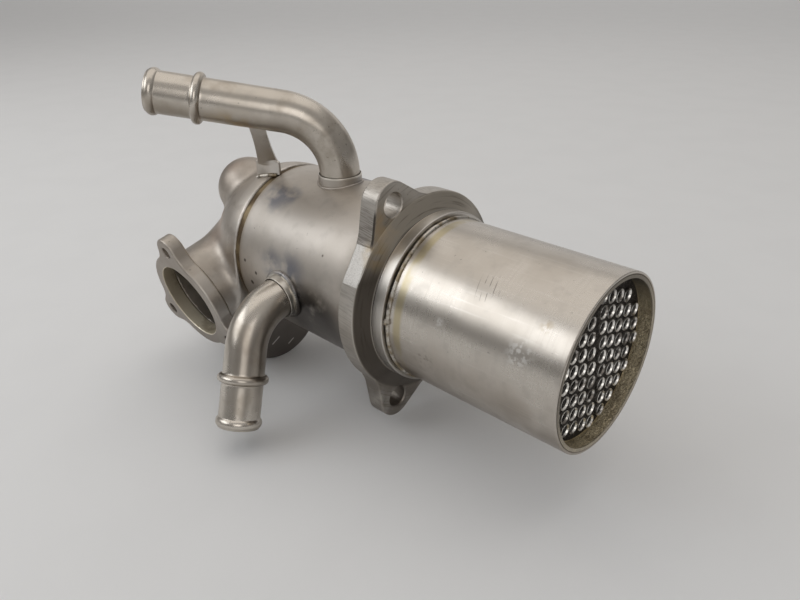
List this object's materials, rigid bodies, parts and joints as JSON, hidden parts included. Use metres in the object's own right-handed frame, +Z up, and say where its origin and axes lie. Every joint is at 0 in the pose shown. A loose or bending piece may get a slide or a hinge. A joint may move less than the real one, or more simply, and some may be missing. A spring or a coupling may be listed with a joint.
{
  "type": "exhaust gas recirculation cooler",
  "caption": "Round shell-and-tube exhaust gas cooler with a tube-filled can, an eared mid flange, a coolant jacket, bent hose pipes and a domed header with a gas outlet flange",
  "frame": {"origin": "centre of the can's open-end rim", "axes": "X runs along the can's axis and points out of the open end, Z points up as the part lies on a table, Y completes the right-handed set"},
  "size_m": [0.2617, 0.1639, 0.1724],
  "materials": {
    "polished_can": "drawn stainless steel, polished by handling, with fine lengthwise marks",
    "sooty_plate": "stainless steel with a film of soot, sandy on its rim",
    "tinted_plate": "stainless steel with brown and gold heat tint",
    "machined_flange": "forged steel with turned faces",
    "satin_jacket": "satin stainless steel with blue and gold heat tint round the welds",
    "bright_pipe": "bent stainless steel tube, satin with a bright sheen",
    "satin_header": "pressed and blasted stainless steel",
    "gas_tube": "thin stainless steel tube, bright at its ends and sooty inside"
  },
  "bodies": {
    "root": {"core_can": "polished_can", "front_tube_plate": "sooty_plate", "rear_tube_plate": "tinted_plate", "coolant_divider": "tinted_plate", "mounting_flange": "machined_flange", "coolant_shell": "satin_jacket", "upper_coolant_pipe": "bright_pipe", "lower_coolant_pipe": "bright_pipe", "header_hood": "satin_header", "gas_flange": "satin_header", "pipe_bracket": "satin_header", "gas_tubes_left_1": "gas_tube", "gas_tubes_left_2": "gas_tube", "gas_tubes_left_3": "gas_tube", "gas_tubes_left_4": "gas_tube", "gas_tubes_left_5": "gas_tube", "gas_tubes_right_1": "gas_tube", "gas_tubes_right_2": "gas_tube", "gas_tubes_right_3": "gas_tube", "gas_tubes_right_4": "gas_tube", "gas_tubes_right_5": "gas_tube"}
  },
  "joints": []
}
